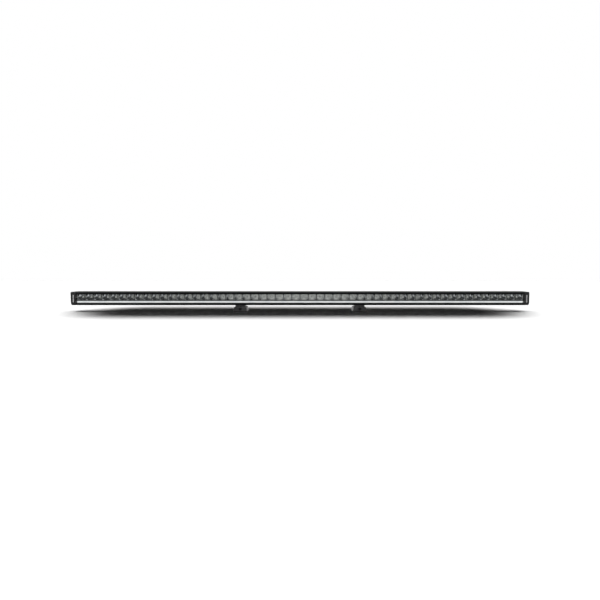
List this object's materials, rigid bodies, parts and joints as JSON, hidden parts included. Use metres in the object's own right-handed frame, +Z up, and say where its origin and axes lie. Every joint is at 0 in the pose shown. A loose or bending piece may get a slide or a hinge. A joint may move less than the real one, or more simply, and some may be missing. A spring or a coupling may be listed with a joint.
{
  "type": "led light bar",
  "caption": "Slim single-row LED light bar: finned extrusion, mirror cells and an opal position-light strip behind one clear lens, on two sliding, tilting feet.",
  "frame": {"origin": "centre of the bar at the level of the feet's soles", "axes": "+X along the bar to the right as seen from the front, the light shines towards -Y, +Z up"},
  "size_m": [1.293, 0.0554, 0.057],
  "materials": {
    "anodised_black": "black anodised extrusion, fine brushed lines along its length",
    "coated_black": "fine-textured black powder coat",
    "satin_insert": "satin light grey metal",
    "reflector_chrome": "vacuum-metallised mirror coat on moulded plastic",
    "lens_clear": "clear polycarbonate with a hard coat",
    "opal_strip": "milky light-diffusing acrylic, lit faintly from behind",
    "black_screw": "blackened steel",
    "stainless": "stainless steel, lightly turned",
    "black_plastic": "fine-grained black nylon",
    "seal_rubber": "matt black rubber",
    "board_white": "white solder mask on an aluminium-core board",
    "board_green": "green solder mask with black and grey components",
    "thermal_grey": "soft grey heat-conducting pad"
  },
  "bodies": {
    "bar": {"breather_vent": "black_plastic", "cable_gland": "black_plastic", "cap_screw_left_bottom_front": "black_screw", "cap_screw_left_bottom_rear": "black_screw", "cap_screw_left_top_front": "black_screw", "cap_screw_left_top_rear": "black_screw", "cap_screw_right_bottom_front": "black_screw", "cap_screw_right_bottom_rear": "black_screw", "cap_screw_right_top_front": "black_screw", "cap_screw_right_top_rear": "black_screw", "driver_board": "board_green", "end_cap_left": "coated_black", "end_cap_right": "coated_black", "end_gasket_left": "seal_rubber", "end_gasket_right": "seal_rubber", "end_trim_left": "satin_insert", "end_trim_right": "satin_insert", "gland_nut": "black_plastic", "gland_seal": "seal_rubber", "housing": "anodised_black", "led_board_1": "board_white", "led_board_2": "board_white", "led_board_3": "board_white", "lens": "lens_clear", "lens_gasket": "seal_rubber", "light_divider": "black_plastic", "position_light_board": "board_white", "position_light_diffuser": "opal_strip", "reflector_1": "reflector_chrome", "reflector_2": "reflector_chrome", "reflector_3": "reflector_chrome", "reflector_4": "reflector_chrome", "reflector_5": "reflector_chrome", "reflector_6": "reflector_chrome", "reflector_7": "reflector_chrome", "reflector_8": "reflector_chrome", "reflector_9": "reflector_chrome", "thermal_pad": "thermal_grey"},
    "slider_left": {"slide_block_left": "coated_black", "jam_screw_left_front": "black_screw", "jam_screw_left_rear": "black_screw"},
    "foot_left": {"foot_left": "coated_black", "foot_pad_left": "seal_rubber", "pivot_bolt_left": "stainless", "pivot_washer_left": "stainless", "pivot_nut_left": "stainless", "lock_screw_left": "black_screw"},
    "slider_right": {"slide_block_right": "coated_black", "jam_screw_right_front": "black_screw", "jam_screw_right_rear": "black_screw"},
    "foot_right": {"foot_right": "coated_black", "foot_pad_right": "seal_rubber", "pivot_bolt_right": "stainless", "pivot_washer_right": "stainless", "pivot_nut_right": "stainless", "lock_screw_right": "black_screw"}
  },
  "joints": [
    {"name": "bracket_slide_left", "type": "slide", "parent": "bar", "child": "slider_left", "axis": [1, 0, 0], "range_m": [-0.43, 0.14]},
    {"name": "foot_tilt_left", "type": "hinge", "parent": "slider_left", "child": "foot_left", "pos_m": [-0.1685, 0, 0.0086], "axis": [1, 0, 0], "range_deg": [-12, 12]},
    {"name": "bracket_slide_right", "type": "slide", "parent": "bar", "child": "slider_right", "axis": [1, 0, 0], "range_m": [-0.14, 0.43]},
    {"name": "foot_tilt_right", "type": "hinge", "parent": "slider_right", "child": "foot_right", "pos_m": [0.1685, 0, 0.0086], "axis": [1, 0, 0], "range_deg": [-12, 12]}
  ]
}
